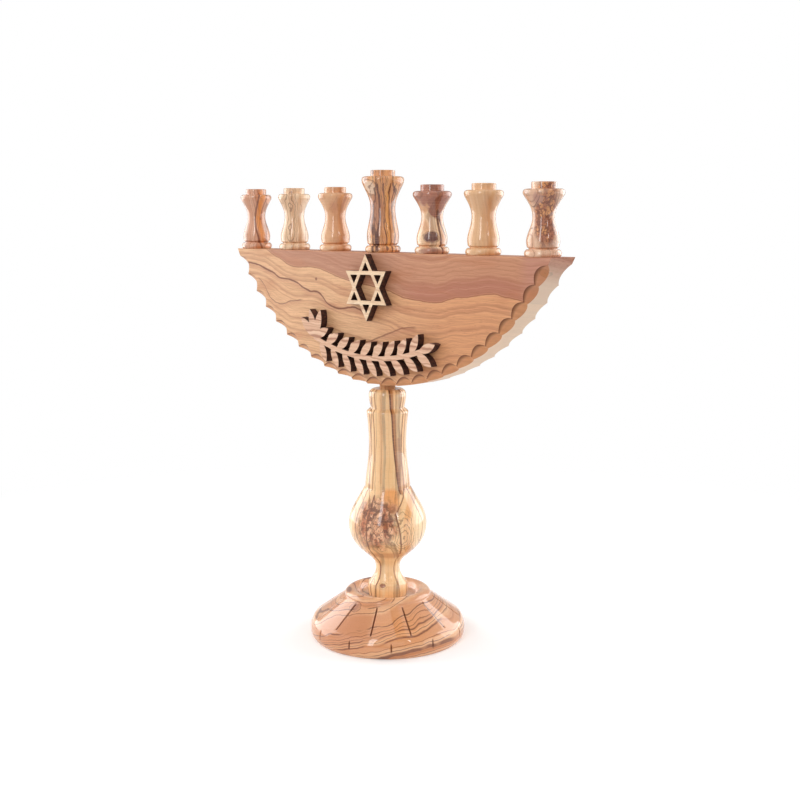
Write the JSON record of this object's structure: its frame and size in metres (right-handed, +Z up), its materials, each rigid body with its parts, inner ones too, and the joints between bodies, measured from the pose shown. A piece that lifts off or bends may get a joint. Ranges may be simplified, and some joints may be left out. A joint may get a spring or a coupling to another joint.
{
  "type": "menorah",
  "caption": "Seven-branch table menorah: turned base and stem, half-moon board with scooped edge, turned candle cups, sawn star and olive-branch ornaments.",
  "frame": {"origin": "centre of the base's flat underside, on the axis of the turned stem", "axes": "+Z up along the stem; X along the half-moon board and the row of cups; -Y is the way the board's front face with its ornaments looks"},
  "size_m": [0.2791, 0.101, 0.3],
  "materials": {
    "base_olive_wood": "clear gloss lacquer over turned olive wood",
    "stem_olive_wood": "clear gloss lacquer over turned olive wood",
    "board_olive_wood": "satin sanded olive wood with flowing grain",
    "dowel_wood": "plain beech dowel, unfinished",
    "ornament_olive_wood": "satin olive wood faces with scorched saw-cut sides",
    "cup_tan_wood": "clear gloss lacquer over tan olive wood",
    "cup_pale_wood": "clear gloss lacquer over pale olive wood",
    "cup_streaked_wood": "clear gloss lacquer over streaked olive wood",
    "cup_dark_streaked_wood": "clear gloss lacquer over olive wood with dark heartwood"
  },
  "bodies": {
    "root": {"base": "base_olive_wood", "stem": "stem_olive_wood", "board": "board_olive_wood", "stem_top_dowel": "dowel_wood", "stem_foot_dowel": "dowel_wood", "cup_1": "cup_tan_wood", "cup_2": "cup_pale_wood", "cup_3": "cup_tan_wood", "cup_4": "cup_streaked_wood", "cup_5": "cup_dark_streaked_wood", "cup_6": "cup_pale_wood", "cup_7": "cup_dark_streaked_wood", "cup_pin_1": "dowel_wood", "cup_pin_2": "dowel_wood", "cup_pin_3": "dowel_wood", "cup_pin_4": "dowel_wood", "cup_pin_5": "dowel_wood", "cup_pin_6": "dowel_wood", "cup_pin_7": "dowel_wood", "star": "ornament_olive_wood", "olive_branch": "ornament_olive_wood"}
  },
  "joints": []
}
